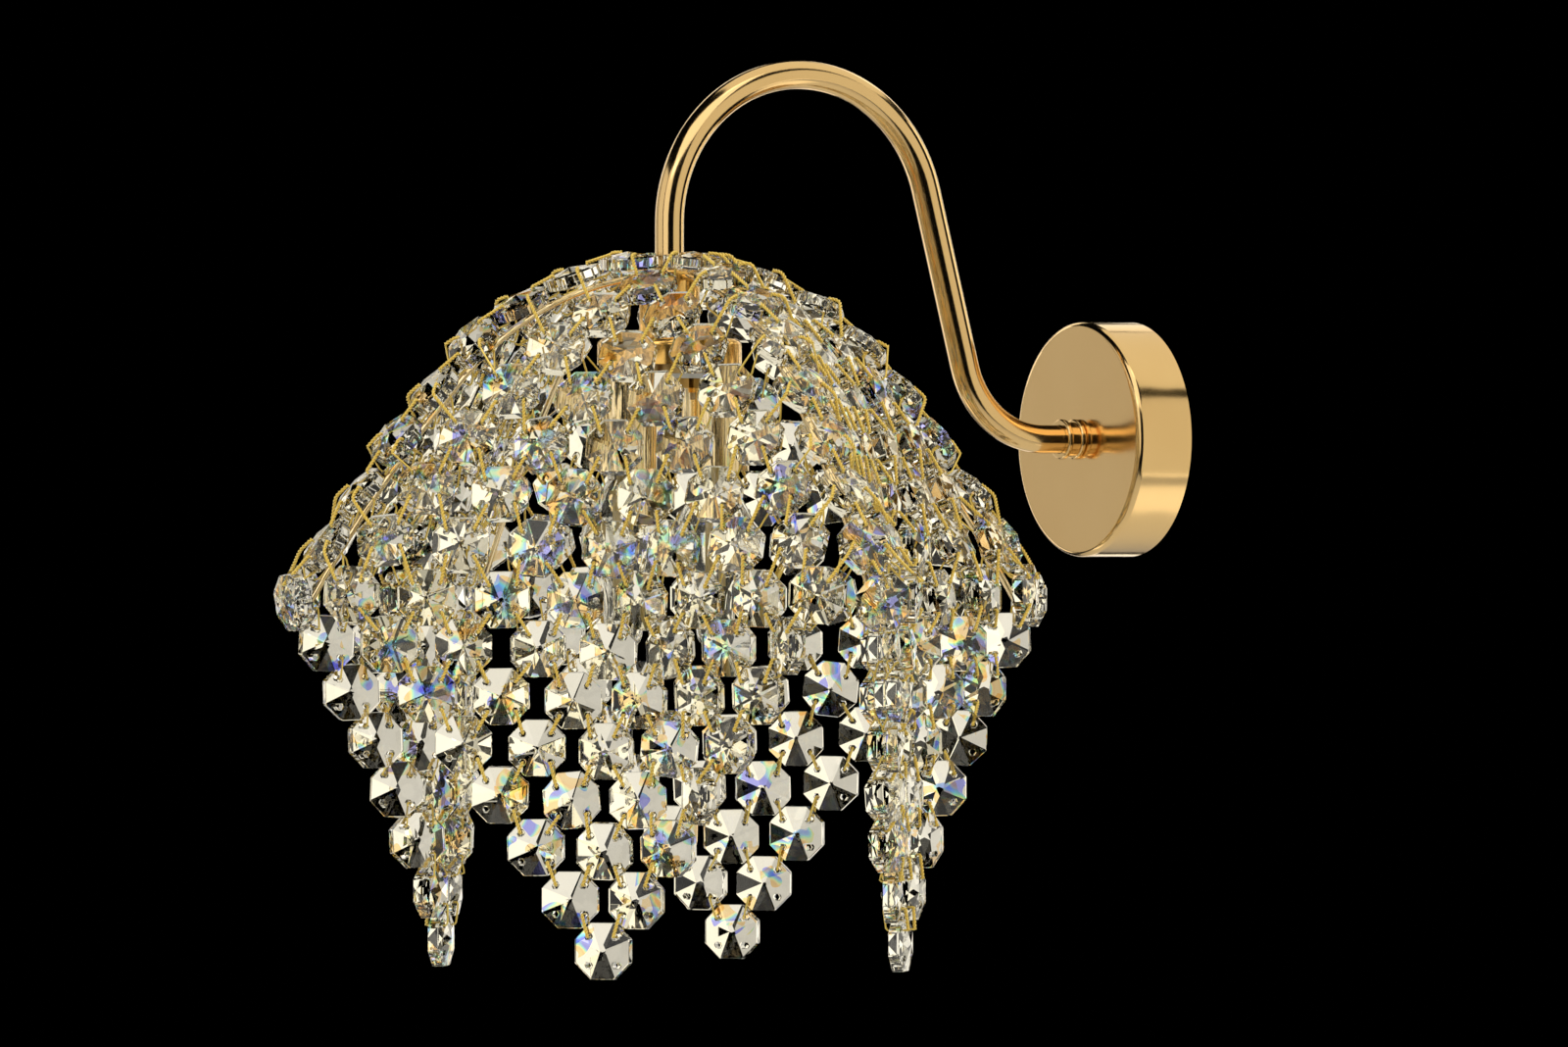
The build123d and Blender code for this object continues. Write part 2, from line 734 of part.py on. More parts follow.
# Ribs
def make_rib(ridge, diameter=rib_diameter):
    """A bent rod under one ridge, from its socket in the hub to the corner crystal.

    It is two arcs that run into each other: a tight one under the crown and a wide one under the side.
    """
    below = crystal_half + rib_clearance + rib_diameter / 2
    crown_radius = ridge_pitch / 2 / sin(radians(ridge_crown_step / 2)) - below
    side_radius = ridge_pitch / 2 / sin(radians(ridge_side_step / 2)) - below
    seat = hub_diameter / 2 - rib_seat_depth
    out = level_way(ridge_angle(ridge))
    last_radius, last_height = ridge_profile()[-1]
    last = radians(ridge_slope(dome_rows))
    bend = radians(fall_slope(ridge_crown_rows))
    side_out = last_radius - (side_radius + below) * sin(last)
    side_up = last_height - (side_radius + below) * cos(last)
    crown_out = side_out + (side_radius - crown_radius) * sin(bend)
    crown_up = side_up + (side_radius - crown_radius) * cos(bend)

    def arc(middle_out, middle_up, radius, start, end):
        """An arc of the rib between two angles from straight up over its middle."""
        middle = Vector(0, axis_y, middle_up) + out * middle_out
        points = [middle + (up * cos(angle) + out * sin(angle)) * radius
                  for angle in (start, (start + end) / 2, end)]
        return ThreePointArc(*points)

    start = asin((seat - crown_out) / crown_radius)
    end = last + rib_overrun / side_radius
    path = Wire([arc(crown_out, crown_up, crown_radius, start, bend),
                 arc(side_out, side_up, side_radius, bend, end)])
    section = Plane(origin=path @ 0, z_dir=path % 0) * Circle(diameter / 2)
    return sweep(section, path=path)


# Export
os.makedirs("parts", exist_ok=True)
panel_names = ["wall_right", "wall_left", "room_left", "room_right"]
ridge_names = ["right", "wall", "left", "room"]


def save(name, shapes):
    """Writes one node, a single piece or a group of separate pieces."""
    group = shapes if isinstance(shapes, list) else [shapes]
    solids = [solid for shape in group for solid in shape.solids()]
    whole = Compound(solids) if len(solids) > 1 else solids[0]
    export_step(whole, f"parts/{name}.step", write_pcurves=False)


save("wall_bracket", make_wall_bracket())
save("earth_screw", make_earth_screw())
save("terminal_block", make_terminal_block())
save("nipple", make_nipple())
save("nipple_nuts", make_nipple_nuts())
save("canopy", make_canopy())
save("collar", make_collar())
save("arm", make_arm())
save("arm_lead", make_arm_lead())
save("hub", make_hub())
save("dish", make_dish())
save("spacer", make_spacer())
save("holder_bar", make_holder_bar())
save("hub_nut", make_hub_nut())
save("holder_nipples", make_holder_nipples())
save("holder_nuts", make_holder_nuts())
save("insulators", make_insulators())
save("screw_shells", make_screw_shells())
save("sleeves", make_sleeves())
for lamp, lamp_place in zip(("room", "wall"), holder_places()):
    save(f"lamp_glass_{lamp}", make_lamp_glass(lamp_place))
    save(f"lamp_cap_{lamp}", make_lamp_cap(lamp_place))
    save(f"lamp_filament_{lamp}", make_filament(lamp_place))
for number, name in enumerate(ridge_names):
    save(f"rib_{name}", make_rib(number))

crystal = make_crystal()
all_ridges = [make_ridge(number) for number in range(petal_count)]
all_panels = [make_panel(number, all_ridges) for number in range(petal_count)]
all_petals = [make_petal(panel[-1]) for panel in all_panels]
for row in range(1, dome_rows + 1):
    members = [panel[row - 1][place] for panel in all_panels for place in range(len(panel[row - 1]) - 1)]
    save(f"dome_crystals_{row}", [crystal.moved(member.place()) for member in members])
for row in range(1, dome_rows):
    save(f"dome_links_{row}", dome_links(all_panels, all_ridges, row))
for name, petal in zip(panel_names, all_petals):
    hanging = [member for line in petal[1:-1] for member in line]
    tip = petal[-1][0]
    save(f"petal_crystals_{name}", [crystal.moved(member.place()) for member in hanging])
    save(f"tip_crystal_{name}", crystal.moved(tip.place()))
    save(f"petal_links_{name}", petal_links(petal))
    pivot = tip.centre + tip.upward * (hole_radius_from_centre / sqrt(2))
    print("tip", name, "pivot", tuple(pivot), "axis", tuple(tip.right))
for lamp, lamp_place in zip(("room", "wall"), holder_places()):
    print("lamp", lamp, "axis through", tuple(lamp_place.position), "foot", glass_bottom)
print("shade axis y", axis_y, "hub top", hub_top, "dish bottom", hub_bottom - dish_height)
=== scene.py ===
# %% [markdown]
# A gold wall sconce with a netted crystal shade
#
# The solids come from CAD and stay where they are. This script gives them their finishes, lets the crystals
# hang a little askew, winds twisted wire links between them, and sets up light and camera. Everything is in
# metres, with the wall at Y = 0 and the sconce reaching out along -Y.

# %% Load the CAD frame
import json
import math

import bpy
import numpy as np
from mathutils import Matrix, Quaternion, Vector


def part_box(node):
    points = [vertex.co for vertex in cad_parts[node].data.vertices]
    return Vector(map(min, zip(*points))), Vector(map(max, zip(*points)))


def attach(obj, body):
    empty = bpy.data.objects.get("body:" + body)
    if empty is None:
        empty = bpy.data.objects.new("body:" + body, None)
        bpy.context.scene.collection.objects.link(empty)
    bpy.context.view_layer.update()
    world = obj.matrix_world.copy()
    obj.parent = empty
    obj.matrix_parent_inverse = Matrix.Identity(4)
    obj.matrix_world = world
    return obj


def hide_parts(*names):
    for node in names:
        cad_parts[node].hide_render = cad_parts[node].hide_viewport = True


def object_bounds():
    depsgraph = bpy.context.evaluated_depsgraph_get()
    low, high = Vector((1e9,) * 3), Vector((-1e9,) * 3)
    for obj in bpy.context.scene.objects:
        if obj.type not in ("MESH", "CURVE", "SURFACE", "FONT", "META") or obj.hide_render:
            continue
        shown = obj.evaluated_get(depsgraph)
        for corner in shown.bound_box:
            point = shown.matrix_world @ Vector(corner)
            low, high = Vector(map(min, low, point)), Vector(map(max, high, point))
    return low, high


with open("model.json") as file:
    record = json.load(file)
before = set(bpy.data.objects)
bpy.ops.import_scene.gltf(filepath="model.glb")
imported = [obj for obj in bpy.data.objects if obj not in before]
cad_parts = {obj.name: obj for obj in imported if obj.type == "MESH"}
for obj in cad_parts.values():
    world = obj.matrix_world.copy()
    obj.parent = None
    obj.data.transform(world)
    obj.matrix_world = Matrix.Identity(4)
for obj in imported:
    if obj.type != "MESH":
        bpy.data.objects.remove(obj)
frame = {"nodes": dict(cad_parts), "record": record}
cad_box = [list(corner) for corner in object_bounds()]
nodes = frame["nodes"]
print(len(nodes), "CAD nodes", cad_box)

# %% [markdown]
# The camera
#
# The photograph looks at the sconce level and from its right front, from about four metres away, so the
# canopy's round face becomes a narrow ellipse. A long lens far away keeps the net's rows almost parallel.
# Placing the camera by the angle that fits the ellipse is simpler than matching points by hand.

# %% Camera at the photograph's angle
view_angle = math.radians(60)
view_distance = 4.07
view_right = 0.0476
view_down = 0.0358
hub_low, hub_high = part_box("hub")
shade_axis = Vector((0.0, (hub_low.y + hub_high.y) / 2, 0.0))
towards_camera = Vector((math.sin(view_angle), -math.cos(view_angle), 0))
image_right = Vector((math.cos(view_angle), math.sin(view_angle), 0))
upward = Vector((0, 0, 1))
lens = bpy.data.cameras.new("camera")
lens.lens, lens.sensor_width = 225, 36
lens.clip_start, lens.clip_end = 0.1, 100
camera = bpy.data.objects.new("camera", lens)
bpy.context.scene.collection.objects.link(camera)
camera.location = shade_axis + image_right * view_right + towards_camera * view_distance - upward * view_down
camera.rotation_mode = "QUATERNION"
camera.rotation_quaternion = (-towards_camera).to_track_quat("-Z", "Y")
bpy.context.scene.camera = camera
bpy.context.scene.view_settings.view_transform = "Standard"
print("camera at", [round(c, 3) for c in camera.location])

# %% [markdown]
# Writing shaders as sums
#
# A finish is a small web of nodes. Wiring each Math node by hand hides the idea, so one class wraps a
# node's output and lets Python's own signs add the Math nodes. Any other node comes from its one method.


# %% A shader signal that can be added and multiplied
class Signal:
    """One output of a shader node."""

    def __init__(self, tree, socket):
        self.tree, self.socket = tree, socket

    @classmethod
    def node(cls, tree, kind, settings=None, inputs=None, output=0):
        """Adds a node, sets it up, feeds its sockets and gives back one output."""
        made = tree.nodes.new(kind)
        for key, value in (settings or {}).items():
            if key == "stops":
                while len(made.color_ramp.elements) < len(value):
                    made.color_ramp.elements.new(1.0)
                for element, (place, colour) in zip(made.color_ramp.elements, value):
                    element.position, element.color = place, (*colour, 1.0)
            else:
                setattr(made, key, value)
        for key, value in (inputs or {}).items():
            if isinstance(value, Signal):
                tree.links.new(value.socket, made.inputs[key])
            else:
                made.inputs[key].default_value = value
        return cls(tree, made.outputs[output]) if made.outputs else None

    def sum_with(self, operation, other, reflected=False):
        """A Math node on this signal and a signal or number."""
        first, second = (other, self) if reflected else (self, other)
        return Signal.node(self.tree, "ShaderNodeMath", {"operation": operation}, {0: first, 1: second})

    def __add__(self, other):
        return self.sum_with("ADD", other)

    def __radd__(self, other):
        return self.sum_with("ADD", other, True)

    def __sub__(self, other):
        return self.sum_with("SUBTRACT", other)

    def __rsub__(self, other):
        return self.sum_with("SUBTRACT", other, True)

    def __mul__(self, other):
        return self.sum_with("MULTIPLY", other)

    def __rmul__(self, other):
        return self.sum_with("MULTIPLY", other, True)

    def __gt__(self, other):
        return self.sum_with("GREATER_THAN", other)


print("shader signal ready")

# %% Small shader tools
mix_first, mix_second, mix_colour = 6, 7, 2


def new_finish(name):
    """An empty material's node tree, with the positions on the piece in metres."""
    material = bpy.data.materials.new(name)
    material.use_nodes = True
    tree = material.node_tree
    tree.nodes.clear()
    return material, tree, Signal.node(tree, "ShaderNodeTexCoord", output="Object")


def cloud(tree, place, size, detail=3.0):
    """Soft random patches of about the given size in metres."""
    return Signal.node(tree, "ShaderNodeTexNoise", None,
                       {"Vector": place, "Scale": 1 / size, "Detail": detail}, "Fac")


def mixed(tree, factor, first, second):
    """A colour that moves from one colour signal or constant to another."""
    return Signal.node(tree, "ShaderNodeMix", {"data_type": "RGBA"},
                       {"Factor": factor, mix_first: first, mix_second: second}, mix_colour)


def colours_between(tree, factor, first, second):
    """A colour that moves from one tone to another."""
    return mixed(tree, factor, (*first, 1), (*second, 1))


def relief(tree, height, strength, depth):
    """Small bumps on a surface."""
    return Signal.node(tree, "ShaderNodeBump", None,
                       {"Height": height, "Strength": strength, "Distance": depth})


def surface(tree, **sockets):
    """The Principled shader on the material's output."""
    inputs = {key.replace("_", " "): value for key, value in sockets.items()}
    shader = Signal.node(tree, "ShaderNodeBsdfPrincipled", None, inputs)
    Signal.node(tree, "ShaderNodeOutputMaterial", None, {"Surface": shader})


print("shader tools ready")

# %% [markdown]
# Light, floor and dark surroundings
#
# Cut crystal only sparkles when it has something bright and something dark to show. A facet bends the view
# by about fourteen degrees towards the crystal's middle, so an upper facet shows what lies low behind the
# lamp, a right one what lies behind on the left. The photograph looks like a black room with large soft panels.
# So the world is dark for the camera, for mirrors and for glass, and stays a soft light for everything else.
# Panels low, high, left and right behind the shade each stand where a facet looks. Wider ones at the sides,
# in front and above are there for the gold. One even dome of light would make the net flat and grey.

# %% Surroundings
soft_light = 0.35
world = bpy.data.worlds.new("dark room")
bpy.context.scene.world = world
world.use_nodes = True
sky = world.node_tree
sky.nodes.clear()
path = [Signal.node(sky, "ShaderNodeLightPath", output=ray)
        for ray in ("Is Camera Ray", "Is Glossy Ray", "Is Transmission Ray")]
soft = Signal.node(sky, "ShaderNodeBackground", None, {"Color": (1, 1, 1, 1), "Strength": soft_light})
dark = Signal.node(sky, "ShaderNodeBackground", None, {"Color": (0, 0, 0, 1), "Strength": 1.0})
seen = Signal.node(sky, "ShaderNodeMixShader", None, {0: path[0] + path[1] + path[2], 1: soft, 2: dark})
Signal.node(sky, "ShaderNodeOutputWorld", None, {"Surface": seen})
print("surroundings ready")


# %% Soft panels
shade_middle = shade_axis - upward * 0.07


def soft_panel(name, turn, rise, distance, width, height, brightness, tint):
    """A soft light panel that faces the shade. Brightness 1 shows as white in a mirror.

    It stands where the camera, looking through the shade, turns to the right by turn and up by rise degrees.
    """
    turn, rise = math.radians(turn), math.radians(rise)
    way = (-towards_camera * math.cos(turn) + image_right * math.sin(turn)) * math.cos(rise)
    way = way + upward * math.sin(rise)
    lamp = bpy.data.lights.new(name, "AREA")
    lamp.shape, lamp.size, lamp.size_y = "RECTANGLE", width, height
    lamp.energy = brightness * math.pi * width * height
    lamp.color = tint
    panel = bpy.data.objects.new(name, lamp)
    bpy.context.scene.collection.objects.link(panel)
    panel.location = shade_middle + way * distance
    panel.rotation_mode = "QUATERNION"
    panel.rotation_quaternion = (-way).to_track_quat("-Z", "Y")
    panel.visible_camera = False
    return panel


warm = (1.0, 0.965, 0.90)
ivory = (1.0, 0.95, 0.82)
# name, turn and rise in degrees, distance, width and height in metres, brightness, tint
panels = [soft_panel(*row) for row in (
    ("panel low behind", 2, -19, 2.0, 0.44, 0.92, 0.9, warm),
    ("panel left near", -18, 0, 2.0, 0.70, 1.20, 0.62, warm),
    ("strip left", -37, 2, 2.1, 0.48, 2.0, 1.5, warm),
    ("panel left behind", -60, 4, 2.2, 0.90, 2.0, 0.54, warm),
    ("panel high behind left", -16, 27, 2.0, 0.80, 0.60, 1.2, ivory),
    ("panel high behind right", 22, 30, 2.0, 0.80, 0.60, 1.2, ivory),
    ("strip right near", 11, 0, 2.0, 0.20, 1.3, 1.2, ivory),
    ("strip right far", 25, 0, 2.0, 0.46, 1.5, 1.4, ivory),
    ("panel right behind", 54, 5, 2.2, 1.10, 1.8, 1.3, ivory),
    ("panel left", -100, 8, 2.2, 1.9, 2.0, 0.8, warm),
    ("panel left front", -150, 12, 2.4, 1.7, 2.0, 1.0, warm),
    ("panel right front", 120, 3, 2.2, 2.2, 2.7, 0.74, ivory),
    ("panel above front", 180, 50, 2.2, 2.4, 1.6, 1.3, warm),
    ("panel above", 60, 66, 2.1, 2.6, 2.6, 0.85, ivory),
    ("panel low left", -70, -42, 2.1, 0.8, 0.7, 1.0, ivory),
    ("panel low right", 75, -42, 2.1, 1.8, 1.0, 0.6, ivory),
)]
print(len(panels), "soft panels")

# %% [markdown]
# The floor
#
# A pale floor far below gives the gold a soft light from underneath, as in a studio. It is small, because a
# wide one would shine through the upper facets like one more panel. From below it lets the camera look through.

# %% Floor
floor_level = -1.7
half = 2.6
sheet = bpy.data.meshes.new("floor")
sheet.from_pydata([(-half, -half, floor_level), (half, -half, floor_level), (half, half, floor_level),
                   (-half, half, floor_level)], [], [(0, 1, 2, 3)])
floor = bpy.data.objects.new("floor", sheet)
bpy.context.scene.collection.objects.link(floor)
floor_paint, tree, place = new_finish("pale floor")
chalk = colours_between(tree, cloud(tree, place, 0.8), (0.74, 0.74, 0.73), (0.78, 0.78, 0.77))
top = Signal.node(tree, "ShaderNodeBsdfDiffuse", None, {"Color": chalk, "Roughness": 0.6})
under = Signal.node(tree, "ShaderNodeBsdfTransparent")
facing_down = Signal.node(tree, "ShaderNodeNewGeometry", output="Backfacing")
both = Signal.node(tree, "ShaderNodeMixShader", None, {0: facing_down, 1: top, 2: under})
Signal.node(tree, "ShaderNodeOutputMaterial", None, {"Surface": both})
sheet.materials.append(floor_paint)
print("floor at", floor_level)

# %% [markdown]
# Gold
#
# Canopy and arm are polished and gold plated. A perfect mirror looks like plastic, so the polish gets faint
# clouds of wear in colour and roughness, and a slow waviness that bends the reflections a little, as on spun
# sheet and drawn tube. Sleeves, dish, ribs and hub carry the same plating. Seen through the crystals the sleeves
# look a paler gold and the dish a more amber one, so two copies of the gold paint in how differently they are
# lit: a paler one for the sleeves and a more amber one for the dish, and ribs and hub follow them. The wire of
# the links is a yellower gold. It is only partly metallic here, so that it looks as bright as in the photograph.


# %% Gold finishes
wear_size = 0.035
speck_size = 0.0016
wave_size = 0.022
wave_depth = 0.002


def gold_finish(name, pale, deep, polish, haze, wave, metallic=1.0):
    """A gold surface: two close tones, a base roughness, hazy patches and a slow waviness."""
    material, tree, place = new_finish(name)
    patches = cloud(tree, place, wear_size)
    specks = cloud(tree, place, speck_size, 2.0)
    waves = cloud(tree, place, wave_size, 1.0)
    surface(tree, Base_Color=colours_between(tree, patches, pale, deep), Metallic=metallic,
            Roughness=polish + haze * patches + 0.04 * specks,
            Normal=relief(tree, waves + 0.02 * specks, wave, wave_depth))
    return material


polished_gold = gold_finish("polished gold", (0.90, 0.63, 0.29), (0.84, 0.56, 0.24), 0.07, 0.10, 0.10)
gold_wire = gold_finish("gold wire", (1.0, 0.77, 0.19), (1.0, 0.69, 0.12), 0.14, 0.08, 0.2, 0.35)
# Painted light: paler and more amber copies of the same gold, for how sleeves and dish look lit through the crystals
pale_gold = gold_finish("pale gold", (1.0, 0.84, 0.54), (1.0, 0.78, 0.44), 0.05, 0.05, 0.3)
amber_gold = gold_finish("amber gold", (1.0, 0.66, 0.22), (1.0, 0.58, 0.16), 0.10, 0.08, 0.2)
turned_brass = gold_finish("turned brass", (0.80, 0.60, 0.28), (0.70, 0.50, 0.22), 0.22, 0.15, 0.2)
print("gold finishes ready")

# %% [markdown]
# Crystal
#
# The crystals are lead glass: clear, heavy and strongly refracting, with flat polished facets. Real glass of
# this kind splits light into colours. Cycles doesn't split light, so patches of strong colour in the glass
# stand in for the flashes. Each is small enough to look like a spark, and they come only where a wider cloud
# is high, so that most of the net stays clear.

# %% Crystal glass
crystal_glass, tree, place = new_finish("cut crystal")
hue = cloud(tree, place, 0.0075, 0.0)
rainbow = [(0.34, (0.01, 0.03, 1.0)), (0.42, (0.03, 0.42, 1.0)), (0.47, (0.16, 0.95, 0.40)),
           (0.52, (1.0, 0.85, 0.15)), (0.58, (1.0, 0.42, 0.03)), (0.70, (1.0, 0.55, 0.08))]
spectrum = Signal.node(tree, "ShaderNodeValToRGB", {"stops": rainbow}, {"Fac": hue})
lively = cloud(tree, place, 0.026, 0.0) > 0.58
flash = lively * (cloud(tree, place, 0.0065, 0.0) > 0.53)
flash_strength = 0.85
clear = colours_between(tree, cloud(tree, place, 0.012), (0.99, 0.965, 0.87), (0.98, 0.94, 0.79))
tinted = mixed(tree, flash * flash_strength, clear, spectrum)
surface(tree, Base_Color=tinted, Roughness=0.004 + 0.012 * cloud(tree, place, 0.004),
        IOR=1.58, Transmission_Weight=1.0)
print("crystal ready")

# %% Lamp glass
lamp_glass, tree, place = new_finish("lamp glass")
thin = colours_between(tree, cloud(tree, place, 0.02), (0.99, 0.99, 0.98), (0.96, 0.96, 0.94))
surface(tree, Base_Color=thin, Roughness=0.01 + 0.02 * cloud(tree, place, 0.006),
        IOR=1.45, Transmission_Weight=1.0)
print("lamp glass ready")

# %% [markdown]
# Small parts inside
#
# Lampholders, terminal block, lead and bracket are hardly seen, but show from behind and from below. Each has
# a plain base tone with the fine grain of its process: moulded, extruded or zinc plated.


# %% Finishes of the small parts
patch_size = 0.012
grain_depth = 0.0002


def plain_finish(name, pale, deep, polish, grain, metallic=0.0):
    """A moulded or plated surface with a fine grain of the given size."""
    material, tree, place = new_finish(name)
    patches = cloud(tree, place, patch_size)
    fine = cloud(tree, place, grain, 4.0)
    tone = colours_between(tree, 0.6 * patches + 0.4 * fine, pale, deep)
    surface(tree, Base_Color=tone, Metallic=metallic, Roughness=polish + 0.15 * fine,
            Normal=relief(tree, fine, 0.25, grain_depth))
    return material


finishes = {
    "polished_gold": polished_gold,
    "gold_wire": gold_wire,
    "plain_brass": turned_brass,
    "crystal": crystal_glass,
    "lamp_glass": lamp_glass,
    "lamp_cap": plain_finish("lamp cap", (0.80, 0.80, 0.78), (0.70, 0.70, 0.69), 0.25, 0.0008, 1.0),
    "filament": plain_finish("filament", (0.95, 0.78, 0.36), (0.85, 0.62, 0.25), 0.5, 0.0006),
    "insulator": plain_finish("moulded insulator", (0.86, 0.85, 0.81), (0.78, 0.77, 0.72), 0.4, 0.0009),
    "lead_sheath": plain_finish("lead sheath", (0.80, 0.79, 0.75), (0.70, 0.69, 0.65), 0.45, 0.0012),
    "zinc_steel": plain_finish("zinc plated steel", (0.70, 0.71, 0.72), (0.58, 0.60, 0.63), 0.3, 0.004, 1.0),
}
# Painted light: sleeves and ribs get the paler copy of the gold, hub and dish the more amber one
painted_tone_finish = {"sleeves": pale_gold, "dish": amber_gold, "hub": amber_gold, "rib_right": pale_gold,
              "rib_wall": pale_gold, "rib_left": pale_gold, "rib_room": pale_gold}
for row in frame["record"]["subparts"]:
    piece = nodes[row["node"]]
    piece.data.materials.clear()
    piece.data.materials.append(painted_tone_finish.get(row["node"], finishes[row["material_slot"]]))
print(len(finishes), "finishes on", len(nodes), "nodes")

# %% [markdown]
# Finding the crystals and the link loops
#
# A CAD node holds a whole row of crystals or links in one mesh. The next steps need each crystal's middle and
# facing, and each loop's corners. Both can be read from the mesh: its separate shells are found by walking
# from vertex to vertex, a crystal's facing is the direction in which it is thinnest, and a loop's corners are
# the clusters of its vertices. That way everything sits exactly where CAD has it. The shells are sorted by
# place, so that the order in which a mesh was written makes no difference.


# %% Shells of a mesh
same_point_digits = 6
place_digits = 4


def shells_of(piece):
    """All points of a mesh, and the vertex numbers of each of its separate closed shells, in order of place."""
    mesh = piece.data
    points = np.empty(len(mesh.vertices) * 3)
    mesh.vertices.foreach_get("co", points)
    points = points.reshape(-1, 3)
    joined, welded = np.unique(np.round(points, same_point_digits), axis=0, return_inverse=True)
    welded = welded.ravel()
    parent = list(range(len(joined)))

    def root(index):
        while parent[index] != index:
            parent[index] = parent[parent[index]]
            index = parent[index]
        return index

    for edge in mesh.edges:
        a, b = root(welded[edge.vertices[0]]), root(welded[edge.vertices[1]])
        if a != b:
            parent[a] = b
    groups = {}
    for vertex in range(len(points)):
        groups.setdefault(root(welded[vertex]), []).append(vertex)
    shells = [np.array(members) for members in groups.values()]
    return points, sorted(shells, key=lambda members: tuple(np.round(points[members].mean(0), place_digits)))


print("shell finder ready")


# %% Facing of a crystal and corners of a loop
upward_lean = 0.1
corner_size = 0.0022


def crystal_facing(points):
    """Middle and outward facing of one crystal."""
    distinct = np.unique(np.round(points, same_point_digits), axis=0)
    middle = distinct.mean(0)
    facing = np.linalg.svd(distinct - middle)[2][2]
    away = middle - np.array(shade_axis)
    away[2] = upward_lean
    return middle, facing if facing @ away > 0 else -facing


def loop_corners(points):
    """The corners of a wire loop in order round it."""
    clusters = []
    for point in np.unique(np.round(points, same_point_digits), axis=0):
        for cluster in clusters:
            if np.linalg.norm(point - cluster[0]) < corner_size:
                cluster.append(point)
                break
        else:
            clusters.append([point])
    corners = np.array([np.mean(cluster, axis=0) for cluster in clusters])
    spread = corners - corners.mean(0)
    first, second = np.linalg.svd(spread)[2][:2]
    turn = np.argsort(np.arctan2(spread @ second, spread @ first))
    return corners[turn]


print("crystal and loop tools ready")

# %% [markdown]
# Crystals that hang a little askew
#
# In a hand-linked net no crystal lies quite like its neighbour: each finds its own balance in its two or
# four wires. It shows because every facet then catches another part of the room. Moving the CAD crystals isn't
# allowed, so each row gets a copy in which every crystal is turned a little about its own middle, the same way
# in every run. Crystals of the dome tip in their net. Those of the petals turn more about the upright, and in
# two petals all of them turn the same way as well. The hem row hangs plumb. Near the tips the turns are small,
# so that the tips have room to swing. A crystal that would pass the outer limits of the sconce stays as it is.


# %% How far the crystals turn
def small_turn(dice, sway, swing, twist=0.0):
    """A random rotation: a small one about any axis and a larger one, round twist, about the upright, in degrees."""
    axis = Vector(dice.normal(size=3)).normalized()
    tip = Quaternion(axis, math.radians(dice.normal(0, sway)))
    spin = Quaternion((0, 0, 1), math.radians(dice.normal(twist, swing)))
    return np.array((spin @ tip).to_matrix())


dome_sway, dome_swing = 8.0, 4.0
petal_sway, petal_swing = 4.0, 13.0
petal_twist = {"petal_crystals_room_left": -26.0, "petal_crystals_wall_right": -26.0}
calm_level, calm_share = -0.18, 0.15
hem_row = "dome_crystals_9"


def turn_of(name, middle, facing, dice):
    """The rotation of one crystal of a row about its middle."""
    if "dome" in name:
        turn = small_turn(dice, dome_sway, dome_swing)
    else:
        calm = calm_share if middle[2] < calm_level else 1.0
        turn = small_turn(dice, petal_sway * calm, petal_swing * calm, petal_twist.get(name, 0.0) * calm)
    if name == hem_row:
        plumb = Vector(facing).rotation_difference(Vector((facing[0], facing[1], 0)))
        turn = turn @ np.array(plumb.to_matrix())
    return turn


print("turns ready")

# %% Turn each crystal a little
body_of = {node: body for body, members in frame["record"]["behaviour"]["bodies"].items() for node in members}
crystal_nodes = sorted(name for name in nodes if "crystal" in name)
low_corner, high_corner = np.array(cad_box)
dice = np.random.default_rng(11)
join_distance = 0.00001
ground_edge = 0.00022
edge_angle = math.radians(30)
middles, facings, turns, tips, turned_count = [], [], [], set(), 0
for name in crystal_nodes:
    points, shells = shells_of(nodes[name])
    for members in shells:
        middle, facing = crystal_facing(points[members])
        if "tip" in name:
            tips.add(len(middles))
        turn = turn_of(name, middle, facing, dice)
        askew = (points[members] - middle) @ turn.T + middle
        if (askew > low_corner).all() and (askew < high_corner).all():
            points[members] = askew
            turned_count += 1
        else:
            turn = np.identity(3)
        middles.append(middle)
        facings.append(facing)
        turns.append(turn)
    mesh = nodes[name].data.copy()
    mesh.name = name.replace("crystal", "octagon")
    mesh.vertices.foreach_set("co", points.ravel())
    mesh.polygons.foreach_set("use_smooth", [False] * len(mesh.polygons))
    octagons = bpy.data.objects.new(mesh.name, mesh)
    bpy.context.scene.collection.objects.link(octagons)
    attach(octagons, body_of[name])
    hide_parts(name)
    weld = octagons.modifiers.new("join faces", "WELD")
    weld.merge_threshold = join_distance
    bevel = octagons.modifiers.new("ground edges", "BEVEL")
    bevel.width, bevel.segments = ground_edge, 1
    bevel.limit_method, bevel.angle_limit = "ANGLE", edge_angle
middles, facings, turns = np.array(middles), np.array(facings), np.array(turns)
print(len(middles), "crystals,", turned_count, "turned")

# %% [markdown]
# Twisted wire links
#
# Each link is a short length of two strands twisted together. It lies across the gap on the outside, turns
# through a hole of each crystal, and closes behind them as a single wire. Its corners follow the two crystals
# that it joins, so it goes through the holes of the turned ones. The front lies close to the glass, but stands
# off at the tips, which swing. A twisted pair is two helices round one line, so each strand is a tube whose
# centre circles the line. Tubes built ring by ring in code keep the mesh small, which matters with some
# hundreds of links.

# %% Tubes along a line
tube_sides = 6
start_side = [0.3, 0.5, 0.81]
bend_points = 5
bend_share = 0.45
fewest_points = 4


def directions_of(line):
    """The direction of a line at each of its points."""
    along = np.gradient(line, axis=0)
    return along / np.linalg.norm(along, axis=1)[:, None]


def distances_along(line):
    """How far each point of a line lies from its start, measured along it."""
    return np.concatenate([[0], np.cumsum(np.linalg.norm(np.diff(line, axis=0), axis=1))])


